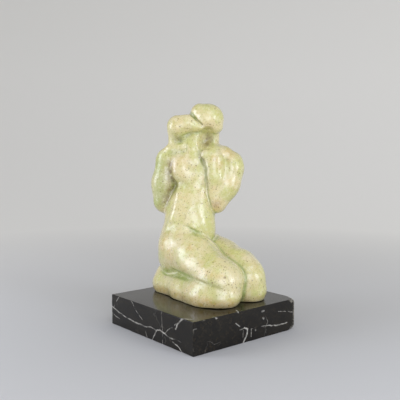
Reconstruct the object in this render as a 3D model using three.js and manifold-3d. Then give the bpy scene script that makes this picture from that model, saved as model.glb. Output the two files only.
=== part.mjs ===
// A small kneeling woman in glazed ceramic on a square slab of black marble.
// Millimetres, +Z up. The origin is the middle of the slab's underside. Her knees point to -Y
// and her right side is towards -X. From the knees up she turns to her right.
import * as THREE from "three";
import { mergeVertices } from "three/addons/utils/BufferGeometryUtils.js";
import Module from "manifold-3d";

const wasm = await Module();
wasm.setup();

// Driving dimensions
const SLAB_SIDE = 130;
const SLAB_HEIGHT = 30;
const SLAB_ARRIS = 0.7;
const WORN_CORNER = 4.6;
const SEAT_GAP = 0.3;
const FIGURE_BASE = SLAB_HEIGHT + SEAT_GAP;
// Her shoulders and head are turned this far from her knees, about an upright through her waist
const UPPER_TURN = THREE.MathUtils.degToRad(40);
const UPPER_AXIS = [12, 25];
// The skin is laid over her masses in cells of this size
const SKIN_CELL = 4.1;
const SKIN_LOW = [-42.1, -64, 13.9];
const SKIN_HIGH = [70, 70, 228];

// Places. x runs to her left, y to her back and z up, both for the legs and for the turned body.
const cosTurn = Math.cos(UPPER_TURN);
const sinTurn = Math.sin(UPPER_TURN);

function upper(x, y, z) {
  return [
    UPPER_AXIS[0] + x * cosTurn + y * sinTurn,
    UPPER_AXIS[1] - x * sinTurn + y * cosTurn,
    z,
  ];
}

function direction(x, y, z) {
  const [px, py] = upper(x, y, 0);
  return [px - UPPER_AXIS[0], py - UPPER_AXIS[1], z];
}

const STRAIGHT = [[1, 0, 0], [0, 1, 0], [0, 0, 1]];
const TURNED = [direction(1, 0, 0), direction(0, 1, 0), [0, 0, 1]];

// Masses. Each is a function that says how far a point lies outside its surface.
const minus = (a, b) => [a[0] - b[0], a[1] - b[1], a[2] - b[2]];
const dot = (a, b) => a[0] * b[0] + a[1] * b[1] + a[2] * b[2];

function egg(centre, radii, axes = STRAIGHT) {
  return (point) => {
    const away = minus(point, centre);
    let scaled = 0;
    let steep = 0;
    for (let i = 0; i < 3; i += 1) {
      const along = dot(away, axes[i]) / radii[i];
      scaled += along * along;
      steep += (along / radii[i]) ** 2;
    }
    const reach = Math.sqrt(scaled);
    return (reach * (reach - 1)) / Math.max(Math.sqrt(steep), 1e-9);
  };
}

// A straight stretch of limb that runs from radius ra at a to radius rb at b, with round ends
function stretch(a, ra, b, rb) {
  const axis = minus(b, a);
  const squared = dot(axis, axis);
  const taper = ra - rb;
  const slope = squared - taper * taper;
  return (point) => {
    const away = minus(point, a);
    const along = dot(away, axis);
    const past = along - squared;
    const side = minus(away.map((v) => v * squared), axis.map((v) => v * along));
    const aside = dot(side, side);
    const bend = Math.sign(taper) * taper * taper * aside;
    if (Math.sign(past) * slope * past * past * squared > bend) {
      return Math.sqrt(aside + past * past * squared) / squared - rb;
    }
    if (Math.sign(along) * slope * along * along * squared < bend) {
      return Math.sqrt(aside + along * along * squared) / squared - ra;
    }
    return (Math.sqrt((aside * slope) / squared) + along * taper) / squared - ra;
  };
}

function softMin(a, b, blend) {
  const near = Math.max(blend - Math.abs(a - b), 0) / blend;
  return Math.min(a, b) - near * near * blend * 0.25;
}

function join(blend, ...masses) {
  return (point) => masses.map((mass) => mass(point)).reduce((a, b) => softMin(a, b, blend));
}

function carve(blend, mass, hollow) {
  return (point) => -softMin(-mass(point), hollow(point), blend);
}

// A limb bends softly at its joints; each joint is a place and a radius
function limb(blend, ...joints) {
  const stretches = [];
  for (let i = 1; i < joints.length; i += 1) {
    stretches.push(stretch(...joints[i - 1], ...joints[i]));
  }
  return join(blend, ...stretches);
}

// The same mass, made wider from side to side about x = middle
function widen(middle, factor, mass) {
  return ([x, y, z]) => mass([middle + (x - middle) / factor, y, z]);
}

// Legs. She sits on her heels, with the shins flat on the slab.
function rightLeg() {
  const thighTop = widen(-5, 1.1, limb(8,
    [[-2.5, 30, 77], 22.5],
    [[-4.5, 4, 70], 19],
    [[-5, -30, 52], 19.5]));
  const thighSide = limb(4,
    [[-8, 28, 71], 17],
    [[-9, 0, 66.5], 15.5],
    [[-12, -26, 58.5], 14]);
  const knee = egg([-5.5, -32, 50], [22, 23, 22]);
  const shin = egg([-8.8, -24, 38.5], [23.6, 31.6, 15.5]);
  const calf = limb(8,
    [[-17.5, -24, 39], 14.3],
    [[-16, 6, 38.2], 14],
    [[-12.6, 39.5, 38], 14]);
  const foot = join(4,
    egg([-9.2, 44.5, 38.5], [15.6, 16, 14.8]),
    egg([-10.6, 47, 47.6], [9.5, 10.5, 10.5]));
  const thigh = join(7, join(5, thighTop, thighSide), knee);
  return join(2.5, join(5, thigh, shin), join(10, join(6, calf, foot), shin));
}

function leftLeg() {
  const thighTop = widen(30, 1.08, limb(8,
    [[24, 30, 72], 21],
    [[27.5, 2, 65.6], 17.2],
    [[28.3, -22, 59.4], 18.5]));
  const thighSide = limb(4,
    [[28, 28, 70], 17],
    [[31, 0, 62], 14.5],
    [[32, -27, 57.5], 12.5]);
  const knee = egg([26.9, -35.3, 49.5], [17.2, 19, 20.2]);
  const shin = egg([27.8, -34.2, 38.5], [18.1, 19.5, 15.5]);
  const calf = limb(4,
    [[33, -29, 41], 14.5],
    [[32.5, 6, 42], 14],
    [[28.5, 40, 41], 14]);
  const foot = egg([27.5, 45, 41], [15, 16, 15]);
  const thigh = join(7, join(5, thighTop, thighSide), knee);
  return join(2.5, join(5, thigh, shin), join(6, join(4, calf, foot), shin));
}

// Both legs, with clay left between the shins and a deep line where each thigh presses on its calf
function legs() {
  const rightFold = limb(1,
    [[-17, 42, 54.5], 1.2],
    [[-20.2, 30, 53], 4],
    [[-22.5, 14, 53.2], 2.9],
    [[-25, 2, 54], 1.8],
    [[-27.6, -13, 54.4], 1.2],
    [[-29.2, -27, 54], 0.9],
    [[-28.2, -40, 52], 0.7],
    [[-22, -50, 48.5], 0.1]);
  const leftFold = limb(1,
    [[33, 48, 55], 2.4],
    [[38, 31, 53.6], 2],
    [[42.6, 15, 52.2], 1.2],
    [[45.6, 0, 50.6], 0.7],
    [[47.8, -15, 48.6], 0.3]);
  const clayBetween = limb(1,
    [[10, -14, 40], 12],
    [[9, 43, 41], 12]);
  const pair = join(3, join(1.5, rightLeg(), leftLeg()), clayBetween);
  return carve(3, carve(3, pair, rightFold), leftFold);
}

// Torso, from the seat to the breast, with the furrow of the spine behind and a soft edge from
// the breast down the right flank
function torso() {
  const seat = egg([7, 35.3, 69], [31.2, 26, 33]);
  const waist = limb(8,
    [[7.4, 31.9, 92], 26.2],
    [upper(-5.7, 2.5, 112), 23.6],
    [upper(-1, 3, 137), 18]);
  const ribs = egg(upper(0, 5, 154), [21, 14.5, 24], TURNED);
  const rightBreast = join(5,
    egg(upper(-13.4, -3.6, 155), [11.4, 9.4, 14.2], TURNED),
    egg(upper(-7.5, -4.4, 150.6), [8.6, 8, 9.8], TURNED));
  const leftBreast = egg(upper(5, -7.5, 148), [8, 5.5, 13], TURNED);
  const belly = egg([9.5, 17, 95], [17, 16, 20]);
  const trunk = join(8, join(10, seat, waist), ribs);
  const front = join(6, join(4, trunk, rightBreast), leftBreast, belly);
  const spine = limb(1,
    [upper(-1, 23, 168), 3],
    [upper(-1, 24.5, 140), 3],
    [[8.5, 62, 100], 3],
    [[8, 64, 84], 2.5],
    [[8, 63, 64], 2.5],
    [[8, 57, 46], 2.5]);
  const flank = limb(3,
    [[-4.2, 29, 138], 2.4],
    [[-7.4, 27.5, 129.7], 3],
    [[-12.3, 25.3, 117], 3.2],
    [[-14.9, 28.2, 106], 3],
    [[-17, 34.2, 95], 1.6]);
  return join(3.5, carve(7, front, spine), flank);
}

function shoulders() {
  const across = limb(6,
    [upper(-28, 7, 166), 9.5],
    [upper(-2, 5, 164), 10.5],
    [upper(15, 7, 171), 10.1],
    [upper(28, 5, 167), 12.2]);
  return join(5, across, egg(upper(18.5, -2.5, 172.5), [8.5, 8, 6.5], TURNED));
}

// Arms. Both elbows hang at her sides, and both hands come up to the neck.
function rightArm() {
  const upperArm = limb(10,
    [upper(-31.2, 7, 162.5), 11],
    [upper(-32.9, 8, 141), 11],
    [upper(-33.2, 9, 121.5), 11.2]);
  const forearm = limb(4,
    [upper(-27, 8, 119), 9],
    [upper(-26, 6, 168), 7]);
  const hand = limb(3,
    [upper(-30.5, 4, 168), 8],
    [upper(-25, 0.5, 174.8), 6],
    [upper(-13.5, -2.5, 177.4), 4.8]);
  return join(5, join(6, upperArm, forearm), hand);
}

// Clay left between the right arm and the ribs, and under the right hand
function rightWeb() {
  return join(3,
    egg(upper(-26, 12, 140), [12, 7, 30], TURNED),
    egg(upper(-17, -0.6, 171), [10, 5, 6], TURNED));
}

function leftArm() {
  const upperArm = limb(10,
    [upper(35, 2, 155), 12.2],
    [upper(30.8, 0.5, 139), 12.3],
    [upper(20.9, -1.5, 120.8), 10.7]);
  const shoulder = egg(upper(35.5, 3.5, 160.5), [12.1, 12, 13.8], TURNED);
  const forearm = stretch(upper(18.5, -4, 121.5), 9.8, upper(20, -6, 145), 10.5);
  const wrist = egg(upper(18.6, -7, 157), [11.2, 10, 18.4], TURNED);
  const hand = stretch(upper(16.5, -7, 167), 7.8, upper(9.5, -8.8, 169.6), 5.5);
  const groove = limb(1,
    [upper(21, -6, 178), 0.8],
    [upper(28.3, -10.3, 170), 1.1],
    [upper(31.8, -12.6, 162), 1.2],
    [upper(32.5, -14, 152), 0.4]);
  const arm = join(3, join(10, upperArm, shoulder), join(6, forearm, wrist));
  return carve(4, join(4, arm, hand), groove);
}

// Head. It is thrown back and turned to her right: a smooth face without features on the right,
// the jaw over the neck, and the round mass of hair on the left that falls to the shoulder.
function head() {
  const hair = join(3,
    egg(upper(12.6, 1, 205.8), [15.6, 15, 15.6], TURNED),
    egg(upper(3.4, 1, 212.6), [8.8, 10, 9], TURNED),
    egg(upper(16.8, 2, 197.4), [10.4, 11, 6.8], TURNED));
  const face = limb(2,
    [upper(-18.5, 0, 198.3), 11.2],
    [upper(-8, -2.5, 201.3), 8.7],
    [upper(8, -9, 196), 3]);
  const underJaw = limb(2,
    [upper(-14, -11, 182.5), 6],
    [upper(-5, -10, 187.5), 6.5],
    [upper(8, -11, 186), 6.5]);
  const throat = limb(4,
    [upper(-22, 2, 192), 6.8],
    [upper(-20.8, 4, 176), 7.6]);
  const skull = join(1.8, carve(0.8, face, underJaw), hair);
  return join(4, skull, throat);
}

function neckAndHairFall() {
  const neck = limb(6,
    [upper(-1, 0.5, 165), 10.5],
    [upper(-1.5, 2, 179), 8],
    [upper(0, 4, 200), 7.5]);
  const underFace = stretch(upper(-13, 1.5, 188), 5.5, upper(-7.5, 1, 178), 6.5);
  const hairFall = stretch(upper(15.4, 6, 198), 8.2, upper(12.5, 8, 172), 9.2);
  return join(2, join(6, neck, underFace), hairFall);
}

// The head on its neck, with hair down the nape and a recess behind the jaw, under the hair
function headOnNeck() {
  const nape = egg(upper(-1, 10.5, 187), [20.5, 8, 25], TURNED);
  const recess = egg(upper(11.2, -9, 183.8), [8.4, 11.4, 12.8], TURNED);
  return carve(4, join(9, join(1.5, head(), neckAndHairFall()), nape), recess);
}

// The whole body, with a soft gap between the left arm and the chest, and the line of the lap
function woman() {
  const body = join(8, torso(), shoulders());
  const withRightArm = join(3, join(4, body, rightWeb()), rightArm());
  const withArms = join(2, withRightArm, leftArm());
  const whole = join(3, join(3, withArms, legs()), headOnNeck());
  const armGap = limb(1,
    [[9.8, 14, 173], 0.9],
    [[10.9, 12, 164], 1.4],
    [[11.8, 8.2, 156], 1],
    [[11.2, 8.1, 145], 0.4],
    [[12, 7.8, 130], 0.3],
    [[15, 4.8, 116], 0.1]);
  const lap = limb(1,
    [[-8.9, 12, 98.7], 0.2],
    [[-3.1, 5.1, 92.9], 0.8],
    [[-1.2, -4, 88.3], 1.1],
    [[3, -11, 83.5], 1.3],
    [[4.2, -16.5, 79.4], 1]);
  return carve(2.5, carve(2.5, whole, lap), armGap);
}

// Skin. One point is set in every cell that the surface passes through, is drawn onto the
// surface, and is joined to the points of the neighbouring cells.
function slopeOf(mass, point) {
  const step = 0.05;
  return [0, 1, 2].map((axis) => {
    const ahead = point.slice();
    const behind = point.slice();
    ahead[axis] += step;
    behind[axis] -= step;
    return (mass(ahead) - mass(behind)) / (2 * step);
  });
}

// Draws a point onto the surface, without letting it leave its own cell
function drawOnto(mass, start, corner, cell) {
  const rim = cell * 0.06;
  let point = start.slice();
  for (let pass = 0; pass < 4; pass += 1) {
    const slope = slopeOf(mass, point);
    const push = mass(point) / Math.max(dot(slope, slope), 0.2);
    point = point.map((v, i) => v - push * slope[i]);
  }
  return point.map((v, i) => THREE.MathUtils.clamp(v, corner[i] + rim, corner[i] + cell - rim));
}

const EDGES = [];
for (const axis of [0, 1, 2]) {
  for (const a of [0, 1]) {
    for (const b of [0, 1]) {
      const from = [0, 0, 0];
      from[(axis + 1) % 3] = a;
      from[(axis + 2) % 3] = b;
      const to = from.slice();
      to[axis] = 1;
      EDGES.push([from, to]);
    }
  }
}

function layGrid(mass, low, high, cell) {
  const counts = low.map((v, i) => Math.ceil((high[i] - v) / cell) + 1);
  const index = (i, j, k) => (i * counts[1] + j) * counts[2] + k;
  const values = new Float64Array(counts[0] * counts[1] * counts[2]);
  for (let i = 0; i < counts[0]; i += 1) {
    for (let j = 0; j < counts[1]; j += 1) {
      for (let k = 0; k < counts[2]; k += 1) {
        values[index(i, j, k)] = mass([low[0] + i * cell, low[1] + j * cell, low[2] + k * cell]);
      }
    }
  }
  return { counts, index, values };
}

const CORNERS = [0, 1, 2, 3, 4, 5, 6, 7].map((n) => [n & 1, (n >> 1) & 1, (n >> 2) & 1]);

// Whether the corners in a set hang together along a cell's edges
function holdTogether(corners) {
  if (corners.length === 0) {
    return true;
  }
  const reached = new Set([corners[0]]);
  for (const corner of reached) {
    for (const bit of [1, 2, 4]) {
      if (corners.includes(corner ^ bit)) {
        reached.add(corner ^ bit);
      }
    }
  }
  return reached.size === corners.length;
}

// Where two folds nearly touch within one cell, the thin gap between them is filled with clay
function fillPinches(grid) {
  const [ni, nj, nk] = grid.counts;
  const filled = -0.01;
  let changed = true;
  while (changed) {
    changed = false;
    for (let i = 0; i < ni - 1; i += 1) {
      for (let j = 0; j < nj - 1; j += 1) {
        for (let k = 0; k < nk - 1; k += 1) {
          const places = CORNERS.map(([a, b, c]) => grid.index(i + a, j + b, k + c));
          const value = (n) => grid.values[places[n]];
          const inside = [0, 1, 2, 3, 4, 5, 6, 7].filter((n) => value(n) < 0);
          const outside = [0, 1, 2, 3, 4, 5, 6, 7].filter((n) => value(n) >= 0);
          if (!holdTogether(inside) || !holdTogether(outside)) {
            const nearest = outside.reduce((a, b) => (value(b) < value(a) ? b : a));
            grid.values[places[nearest]] = filled;
            changed = true;
          }
        }
      }
    }
  }
}

// The middle of the places where the surface crosses a cell's edges, or null where it misses it
function crossingPoint(grid, low, cell, place) {
  const sum = [0, 0, 0];
  let crossings = 0;
  for (const [from, to] of EDGES) {
    const a = grid.values[grid.index(...from.map((v, i) => v + place[i]))];
    const b = grid.values[grid.index(...to.map((v, i) => v + place[i]))];
    if (a < 0 !== b < 0) {
      const share = a / (a - b);
      crossings += 1;
      for (let i = 0; i < 3; i += 1) {
        sum[i] += from[i] + share * (to[i] - from[i]);
      }
    }
  }
  if (crossings === 0) {
    return null;
  }
  return sum.map((v, i) => low[i] + cell * (place[i] + v / crossings));
}

function distance(points, a, b) {
  return Math.hypot(...minus(points[a], points[b]));
}

function layFace(faces, points, corners) {
  const [a, b, c, d] = corners;
  if (distance(points, a, c) < distance(points, b, d)) {
    faces.push(a, b, c, a, c, d);
  } else {
    faces.push(a, b, d, b, c, d);
  }
}

// In a crease each point is eased to the middle of its neighbours, so that the crease runs evenly
function easeCreases(mass, points, faces) {
  const neighbours = points.map(() => new Set());
  faces.forEach((point, n) => {
    const next = n % 3 === 2 ? faces[n - 2] : faces[n + 1];
    neighbours[point].add(next);
    neighbours[next].add(point);
  });
  return points.map((point, n) => {
    const middle = [0, 0, 0];
    for (const near of neighbours[n]) {
      points[near].forEach((v, i) => {
        middle[i] += v / neighbours[n].size;
      });
    }
    return mass(middle) > 0 ? middle : point;
  });
}

function skin(mass) {
  const grid = layGrid(mass, SKIN_LOW, SKIN_HIGH, SKIN_CELL);
  fillPinches(grid);
  const pointIn = new Map();
  const points = [];
  const [ni, nj, nk] = grid.counts;
  for (let i = 0; i < ni - 1; i += 1) {
    for (let j = 0; j < nj - 1; j += 1) {
      for (let k = 0; k < nk - 1; k += 1) {
        const crossing = crossingPoint(grid, SKIN_LOW, SKIN_CELL, [i, j, k]);
        if (crossing) {
          pointIn.set(grid.index(i, j, k), points.length);
          const corner = [i, j, k].map((v, n) => SKIN_LOW[n] + v * SKIN_CELL);
          points.push(drawOnto(mass, crossing, corner, SKIN_CELL));
        }
      }
    }
  }
  const faces = [];
  for (let i = 1; i < ni - 1; i += 1) {
    for (let j = 1; j < nj - 1; j += 1) {
      for (let k = 1; k < nk - 1; k += 1) {
        for (let axis = 0; axis < 3; axis += 1) {
          const next = [i, j, k];
          next[axis] += 1;
          const inside = grid.values[grid.index(i, j, k)] < 0;
          if (inside !== grid.values[grid.index(...next)] < 0) {
            const around = [[0, 0], [1, 0], [1, 1], [0, 1]].map(([a, b]) => {
              const place = [i, j, k];
              place[(axis + 1) % 3] -= a;
              place[(axis + 2) % 3] -= b;
              return pointIn.get(grid.index(...place));
            });
            layFace(faces, points, inside ? around : around.reverse());
          }
        }
      }
    }
  }
  const eased = easeCreases(mass, points, faces);
  const geometry = new THREE.BufferGeometry();
  geometry.setAttribute("position", new THREE.Float32BufferAttribute(eased.flat(), 3));
  geometry.setIndex(faces);
  return geometry;
}

// Solids for the cuts
function solidOf(geometry) {
  const bare = geometry.clone();
  bare.deleteAttribute("normal");
  bare.deleteAttribute("uv");
  const merged = mergeVertices(bare, 1e-4);
  return new wasm.Manifold(new wasm.Mesh({
    numProp: 3,
    vertProperties: new Float32Array(merged.attributes.position.array),
    triVerts: new Uint32Array(merged.index.array),
  }));
}

function geometryOf(solid) {
  const mesh = solid.getMesh();
  const geometry = new THREE.BufferGeometry();
  geometry.setAttribute("position", new THREE.Float32BufferAttribute(mesh.vertProperties, 3));
  geometry.setIndex(Array.from(mesh.triVerts));
  geometry.computeVertexNormals();
  return geometry;
}

function placedBox(size, centre) {
  const box = new THREE.BoxGeometry(...size);
  box.translate(...centre);
  return box;
}

function figureGeometry() {
  const above = 400;
  const keep = placedBox([above, above, above], [0, 0, FIGURE_BASE + above / 2]);
  return geometryOf(solidOf(skin(woman())).intersect(solidOf(keep)));
}

// A square slab with a fine arris all round and one worn, rounded corner
function slabGeometry() {
  const half = SLAB_SIDE / 2 - SLAB_ARRIS;
  const outline = new THREE.Shape();
  outline.moveTo(-half, -half);
  outline.lineTo(half - WORN_CORNER, -half);
  outline.quadraticCurveTo(half, -half, half, -half + WORN_CORNER);
  outline.lineTo(half, half);
  outline.lineTo(-half, half);
  outline.closePath();
  const slab = new THREE.ExtrudeGeometry(outline, {
    depth: SLAB_HEIGHT - 2 * SLAB_ARRIS,
    bevelEnabled: true,
    bevelThickness: SLAB_ARRIS,
    bevelSize: SLAB_ARRIS,
    bevelSegments: 1,
    curveSegments: 4,
  });
  slab.translate(0, 0, SLAB_ARRIS);
  return slab;
}

const glaze = new THREE.MeshStandardMaterial({ color: 0xd3d39a, roughness: 0.22, metalness: 0 });
const marble = new THREE.MeshStandardMaterial({ color: 0x232220, roughness: 0.15, metalness: 0 });

function piece(name, geometry, material) {
  const mesh = new THREE.Mesh(geometry, material);
  mesh.name = name;
  return mesh;
}

const sculpture = new THREE.Group();
sculpture.add(piece("kneeling_woman", figureGeometry(), glaze));
sculpture.add(piece("marble_plinth", slabGeometry(), marble));

export default sculpture;
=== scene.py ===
# A small kneeling woman in glazed ceramic on a square slab of black marble.
# Lengths in the shape functions are millimetres; objects are made in metres.
import math

import bpy
import numpy as np
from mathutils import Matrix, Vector


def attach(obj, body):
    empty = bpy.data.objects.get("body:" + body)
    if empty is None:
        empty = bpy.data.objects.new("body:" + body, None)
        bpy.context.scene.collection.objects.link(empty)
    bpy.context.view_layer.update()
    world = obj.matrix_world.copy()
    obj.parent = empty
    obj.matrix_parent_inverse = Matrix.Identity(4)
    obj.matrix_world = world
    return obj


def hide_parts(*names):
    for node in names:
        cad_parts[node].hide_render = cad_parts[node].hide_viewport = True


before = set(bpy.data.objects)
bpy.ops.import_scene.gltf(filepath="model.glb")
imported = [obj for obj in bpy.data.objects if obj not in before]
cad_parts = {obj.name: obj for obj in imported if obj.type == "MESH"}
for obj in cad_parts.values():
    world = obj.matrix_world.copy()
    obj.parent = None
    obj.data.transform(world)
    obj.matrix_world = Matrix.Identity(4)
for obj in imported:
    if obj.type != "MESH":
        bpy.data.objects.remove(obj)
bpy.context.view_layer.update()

MM = 0.001
PER_METRE = 1000.0
TINY = 1e-6

# Faces of the slab
LEFT, RIGHT = -65.0, 65.0
FRONT, BACK = -65.0, 65.0
BOTTOM, TOP = 0.0, 30.0
SLAB_SIZES = ((LEFT, RIGHT), (FRONT, BACK), (BOTTOM, TOP))
SLAB_FACES = [(axis, side) for axis in range(3) for side in (0, 1)]

# The figure's flat base lies a little above the slab, for the joint between the two.
FIGURE_BASE = TOP + 0.3

# Her shoulders and head are turned this far to her right, about an upright through her waist.
UPPER_TURN = math.radians(40)
UPPER_AXIS = (12.0, 25.0)

# The box in which her skin is looked for, and the size of its cells
SKIN_LOW = (-37.0, -60.0, 27.0)
SKIN_HIGH = (58.0, 68.0, 225.0)
SKIN_CELL = 0.95

# Camera, placed in metres. Its side is in degrees from her front towards her left.
CAMERA_PLACE = (-0.3762, -0.4472, 0.1739)
CAMERA_AIM = (-0.0035, 0.0, 0.126)
CAMERA_LENS = 53.85
SENSOR_WIDTH = 36.0
CAMERA_SIDE = -39.8

# Lights: name, degrees round from the camera's side, degrees up, distance, size and power
LIGHTS = [
    ("over", 30, 52, 0.8, (0.7, 0.4), 1.1),
    ("front", 5, 10, 0.85, (0.52, 0.42), 1.8),
    ("left", -81, 14, 0.8, (0.4, 0.62), 2.6),
    ("right", 53, 15, 0.85, (0.24, 0.4), 1.4),
]
LIGHT_AIM = (0.0, 0.0, 0.12)
COOL = (0.92, 0.98, 1.18)
WORLD_STRENGTH = 0.41


# Colours
def rgb(r, g, b):
    """Linear colour from the 0 to 255 values of a screen."""
    def linear(v):
        v /= 255.0
        return v / 12.92 if v <= 0.04045 else ((v + 0.055) / 1.055) ** 2.4
    return (linear(r), linear(g), linear(b), 1.0)


CREAM = rgb(233, 219, 160)
YELLOW_GREEN = rgb(213, 211, 130)
PINK = rgb(236, 204, 148)
OCHRE = rgb(212, 176, 84)
# Green of pooled glaze, also used as painted shade in recesses and folds
POOLED_GREEN_AND_SHADE = rgb(154, 172, 94)
THIN_PALE = rgb(240, 226, 196)
MOTTLE_PALE = rgb(250, 243, 205)
DAPPLE_OLIVE = rgb(182, 181, 84)
GRIT_OLIVE = rgb(176, 172, 86)
# Brown of real stains, also used as painted shade in recesses and creases
STAIN_AND_SHADE_BROWN = rgb(116, 90, 40)
SPECK_BROWN = rgb(124, 100, 34)
STONE_BLACK = rgb(14, 12, 10)
STONE_CLOUD = rgb(30, 27, 21)
STONE_BROWN = rgb(64, 54, 36)
VEIN_WHITE = rgb(206, 202, 190)
BARE_STONE = rgb(150, 145, 130)
PAPER = rgb(199, 198, 195)
PAPER_GLOW = (1.0, 0.99, 0.96, 1.0)


# Places. x runs to her left, y to her back and z up, both for the legs and for the turned body.
def upper(x, y, z):
    c, s = math.cos(UPPER_TURN), math.sin(UPPER_TURN)
    return np.array([UPPER_AXIS[0] + x * c + y * s, UPPER_AXIS[1] - x * s + y * c, z])


def turned_axes():
    c, s = math.cos(UPPER_TURN), math.sin(UPPER_TURN)
    return np.array([[c, -s, 0.0], [s, c, 0.0], [0.0, 0.0, 1.0]])


TURNED = turned_axes()


# Masses. Each gives, for an array of points, how far they lie outside its surface.
def egg(points, centre, radii, axes=None):
    away = points - np.asarray(centre, float)
    if axes is not None:
        away = away @ axes.T
    scaled = away / np.asarray(radii, float)
    reach = np.sqrt(np.einsum("ij,ij->i", scaled, scaled))
    steep = scaled / np.asarray(radii, float)
    slope = np.sqrt(np.einsum("ij,ij->i", steep, steep))
    return reach * (reach - 1.0) / np.maximum(slope, 1e-9)


def stretch(points, a, ra, b, rb):
    """A straight stretch of limb from radius ra at a to radius rb at b, with round ends."""
    a, b = np.asarray(a, float), np.asarray(b, float)
    axis = b - a
    squared = axis @ axis
    taper = ra - rb
    slope = squared - taper * taper
    away = points - a
    along = away @ axis
    past = along - squared
    side = away * squared - along[:, None] * axis
    aside = np.einsum("ij,ij->i", side, side)
    bend = np.sign(taper) * taper * taper * aside
    out = (np.sqrt(aside * slope / squared) + along * taper) / squared - ra
    low = np.sign(along) * slope * along * along * squared < bend
    high = np.sign(past) * slope * past * past * squared > bend
    out = np.where(low, np.sqrt(aside + along * along * squared) / squared - ra, out)
    return np.where(high, np.sqrt(aside + past * past * squared) / squared - rb, out)


def soft_min(a, b, blend):
    """The lesser of the two, rounded over where they differ by less than the blend."""
    near = np.maximum(blend - np.abs(a - b), 0.0) / blend
    return np.minimum(a, b) - near * near * blend * 0.25


def join(blend, first, *others):
    for other in others:
        first = soft_min(first, other, blend)
    return first


def carve(blend, mass, hollow):
    """The mass with the hollow taken out of it, soft at the rim."""
    return -soft_min(-mass, hollow, blend)


def limb(points, blend, *joints):
    """A limb that bends softly at its joints; each joint is a place and a radius."""
    parts = [stretch(points, *a, *b) for a, b in zip(joints, joints[1:])]
    return join(blend, *parts)


def widened(points, middle, factor):
    """Places for a mass that is widened by the factor from the middle along x."""
    moved = points.copy()
    moved[:, 0] = middle + (points[:, 0] - middle) / factor
    return moved


# Legs. She sits on her heels, with the shins flat on the slab.
def right_leg(p):
    thigh_top = limb(widened(p, -5, 1.1), 8,
                     ((-2.5, 30, 77), 22.5), ((-4.5, 4, 70), 19), ((-5, -30, 52), 19.5))
    thigh_side = limb(p, 4, ((-8, 28, 71), 17), ((-9, 0, 66.5), 15.5), ((-12, -26, 58.5), 14))
    knee = egg(p, (-5.5, -32, 50), (22, 23, 22))
    shin = egg(p, (-8.8, -24, 38.5), (23.6, 31.6, 15.5))
    calf = limb(p, 8, ((-17.5, -24, 39), 14.3), ((-16, 6, 38.2), 14), ((-12.6, 39.5, 38), 14))
    foot = join(4, egg(p, (-9.2, 44.5, 38.5), (15.6, 16, 14.8)),
                egg(p, (-10.6, 47, 47.6), (9.5, 10.5, 10.5)))
    thigh = join(7, join(5, thigh_top, thigh_side), knee)
    return join(2.5, join(5, thigh, shin), join(10, join(6, calf, foot), shin))


def left_leg(p):
    thigh_top = limb(widened(p, 30, 1.08), 8,
                     ((24, 30, 72), 21), ((27.5, 2, 65.6), 17.2), ((28.3, -22, 59.4), 18.5))
    thigh_side = limb(p, 4, ((28, 28, 70), 17), ((31, 0, 62), 14.5), ((32, -27, 57.5), 12.5))
    knee = egg(p, (26.9, -35.3, 49.5), (17.2, 19, 20.2))
    shin = egg(p, (27.8, -34.2, 38.5), (18.1, 19.5, 15.5))
    calf = limb(p, 4, ((33, -29, 41), 14.5), ((32.5, 6, 42), 14), ((28.5, 40, 41), 14))
    foot = egg(p, (27.5, 45, 41), (15, 16, 15))
    thigh = join(7, join(5, thigh_top, thigh_side), knee)
    return join(2.5, join(5, thigh, shin), join(6, join(4, calf, foot), shin))


def legs(p):
    right_fold = limb(p, 1,
                      ((-17, 42, 54.5), 1.2), ((-20.2, 30, 53), 4), ((-22.5, 14, 53.2), 2.9),
                      ((-25, 2, 54), 1.8), ((-27.6, -13, 54.4), 1.2), ((-29.2, -27, 54), 0.9),
                      ((-28.2, -40, 52), 0.7), ((-22, -50, 48.5), 0.1))
    left_fold = limb(p, 1,
                     ((33, 48, 55), 2.4), ((38, 31, 53.6), 2), ((42.6, 15, 52.2), 1.2),
                     ((45.6, 0, 50.6), 0.7), ((47.8, -15, 48.6), 0.3))
    clay_between = limb(p, 1, ((10, -14, 40), 12), ((9, 43, 41), 12))
    pair = join(3, join(1.5, right_leg(p), left_leg(p)), clay_between)
    return carve(3, carve(3, pair, right_fold), left_fold)


def torso(p):
    seat = egg(p, (7, 35.3, 69), (31.2, 26, 33))
    waist = limb(p, 8, ((7.4, 31.9, 92), 26.2), (upper(-5.7, 2.5, 112), 23.6),
                 (upper(-1, 3, 137), 18))
    ribs = egg(p, upper(0, 5, 154), (21, 14.5, 24), TURNED)
    right_breast = join(5, egg(p, upper(-13.4, -3.6, 155), (11.4, 9.4, 14.2), TURNED),
                        egg(p, upper(-7.5, -4.4, 150.6), (8.6, 8, 9.8), TURNED))
    left_breast = egg(p, upper(5, -7.5, 148), (8, 5.5, 13), TURNED)
    belly = egg(p, (9.5, 17, 95), (17, 16, 20))
    trunk = join(8, join(10, seat, waist), ribs)
    front = join(6, join(4, trunk, right_breast), left_breast, belly)
    spine = limb(p, 1,
                 (upper(-1, 23, 168), 3), (upper(-1, 24.5, 140), 3), ((8.5, 62, 100), 3),
                 ((8, 64, 84), 2.5), ((8, 63, 64), 2.5), ((8, 57, 46), 2.5))
    flank = limb(p, 3, ((-4.2, 29, 138), 2.4), ((-7.4, 27.5, 129.7), 3), ((-12.3, 25.3, 117), 3.2),
                 ((-14.9, 28.2, 106), 3), ((-17, 34.2, 95), 1.6))
    return join(3.5, carve(7, front, spine), flank)


def shoulders(p):
    across = limb(p, 6, (upper(-28, 7, 166), 9.5), (upper(-2, 5, 164), 10.5),
                  (upper(15, 7, 171), 10.1), (upper(28, 5, 167), 12.2))
    return join(5, across, egg(p, upper(18.5, -2.5, 172.5), (8.5, 8, 6.5), TURNED))


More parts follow.
